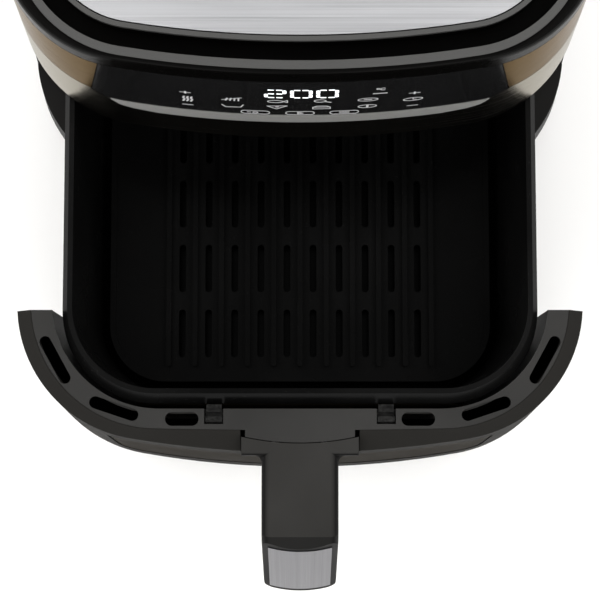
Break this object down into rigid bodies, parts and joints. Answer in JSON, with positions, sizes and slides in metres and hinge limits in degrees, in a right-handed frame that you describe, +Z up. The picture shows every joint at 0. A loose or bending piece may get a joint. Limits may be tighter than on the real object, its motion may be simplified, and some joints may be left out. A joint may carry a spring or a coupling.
{
  "type": "air fryer",
  "caption": "Basket air fryer with a rounded square body, slanted touch panel and a sliding drawer that holds a coated pan with a slotted grill plate.",
  "frame": {"origin": "on the worktop, at the middle of the overall box with the drawer pulled out as at rest", "axes": "+X to the right seen from the front, +Y from the drawer towards the back, +Z up"},
  "size_m": [0.3028, 0.5166, 0.276],
  "materials": {
    "dark_plastic": "fine satin grain",
    "inner_plastic": "moulded, semi-matte",
    "band_steel": "brushed round the body",
    "band_bronze": "brushed round the body, with a bronze tint",
    "panel_gloss": "piano black",
    "strip_steel": "brushed along its length",
    "gloss_black": "polished black",
    "ring_grey": "satin grey",
    "plate_steel": "brushed from side to side",
    "screw_steel": "plain",
    "black_rubber": "matt",
    "chamber_steel": "mill finish",
    "heater_steel": "heat darkened",
    "guard_steel": "bright",
    "lens_glass": "frosted",
    "insulation_wool": "fibre mat",
    "motor_metal": "zinc grey",
    "fan_aluminium": "pressed sheet",
    "circuit_board": "lacquered board",
    "drawer_gloss": "brown-black gloss",
    "drawer_matte": "fine matt grain",
    "window_glass": "tinted",
    "pan_coating": "non-stick coating with fine flecks",
    "handle_matte": "fine matt grain",
    "insert_steel": "brushed lengthwise",
    "clip_steel": "stamped"
  },
  "bodies": {
    "housing": {"base_tray": "dark_plastic", "outer_shell": "dark_plastic", "head_shell": "inner_plastic", "head_floor": "dark_plastic", "lower_band": "band_steel", "upper_band": "band_bronze", "touch_panel": "panel_gloss", "accent_strip": "strip_steel", "top_shell": "gloss_black", "top_trim_ring": "ring_grey", "plate_frame": "ring_grey", "top_plate": "plate_steel", "rear_cover": "dark_plastic", "rear_screws": "screw_steel", "cord_gland": "black_rubber", "liner": "chamber_steel", "reflector": "chamber_steel", "heater": "heater_steel", "guard": "guard_steel", "lamp_lens": "lens_glass", "lamp_holder": "inner_plastic", "lamp_bulb": "lens_glass", "temperature_sensor": "screw_steel", "insulation": "insulation_wool", "motor_bracket": "guard_steel", "motor": "motor_metal", "fan_shroud": "inner_plastic", "control_board": "circuit_board", "display_module": "panel_gloss", "power_board": "circuit_board", "exhaust_duct": "guard_steel", "door_switch": "inner_plastic", "base_screws": "screw_steel", "rail_left": "chamber_steel", "rail_right": "chamber_steel", "foot_front_left": "black_rubber", "foot_rear_left": "black_rubber", "foot_front_right": "black_rubber", "foot_rear_right": "black_rubber"},
    "drawer": {"fascia": "drawer_gloss", "window_glass": "window_glass", "window_gasket": "black_rubber", "inner_wall": "drawer_matte", "inner_glass": "window_glass", "drawer_cap": "drawer_matte", "pan": "pan_coating", "handle": "handle_matte", "handle_insert": "insert_steel", "handle_cover": "handle_matte", "handle_screws": "screw_steel", "pan_clip_left": "clip_steel", "pan_clip_right": "clip_steel"},
    "grill": {"grill_plate": "pan_coating", "grill_bumpers": "black_rubber"},
    "rotor": {"convection_fan": "fan_aluminium", "cooling_fan": "inner_plastic", "motor_shaft": "screw_steel"},
    "lever": {"switch_lever": "screw_steel"}
  },
  "joints": [
    {"name": "drawer_slide", "type": "slide", "parent": "housing", "child": "drawer", "axis": [0, -1, 0], "range_m": [-0.151, 0.105]},
    {"name": "grill_lift", "type": "slide", "parent": "drawer", "child": "grill", "axis": [0, 0, 1], "range_m": [0, 0.09]},
    {"name": "fan_spin", "type": "hinge", "parent": "housing", "child": "rotor", "pos_m": [0, 0.09816, 0.22], "axis": [0, 0, 1], "continuous": true},
    {"name": "switch_lever_hinge", "type": "hinge", "parent": "housing", "child": "lever", "pos_m": [-0.131, 0.03356, 0.108], "axis": [0, 0, 1], "range_deg": [0, 8], "stiffness_Nm_per_rad": 0.002, "springref_deg": -2.86}
  ]
}
